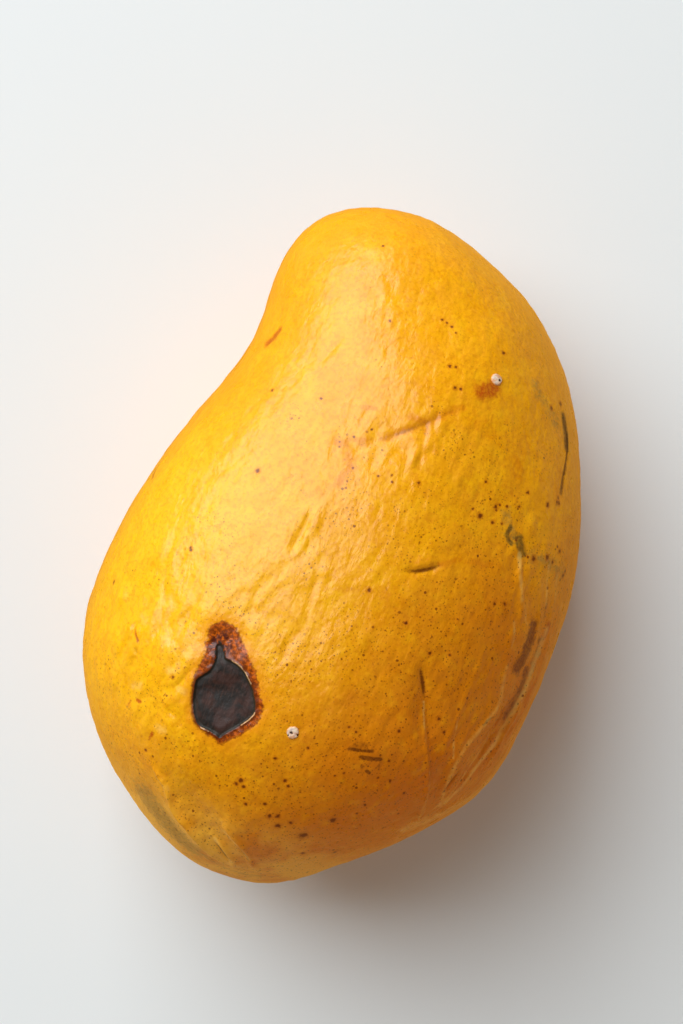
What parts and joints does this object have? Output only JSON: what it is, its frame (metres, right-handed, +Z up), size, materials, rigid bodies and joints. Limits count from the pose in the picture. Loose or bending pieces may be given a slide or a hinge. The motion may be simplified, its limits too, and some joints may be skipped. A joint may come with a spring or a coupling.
{
  "type": "mango",
  "caption": "Ripe yellow mango with a sunken dark scar and shrivelling skin, a hooked narrow end and a stem pit, lying on its flatter cheek.",
  "frame": {"origin": "on the surface that the fruit lies on, under the middle of its outline seen from above", "axes": "+Y along the fruit towards its narrow apex end, -Y towards the stem end; +Z up, through the flatter cheek; +X towards the full, rounded side, -X towards the hollow beside the hooked apex"},
  "size_m": [0.0818, 0.124, 0.0688],
  "materials": {
    "mango_skin": "satin"
  },
  "bodies": {
    "root": {"mango": "mango_skin"}
  },
  "joints": []
}
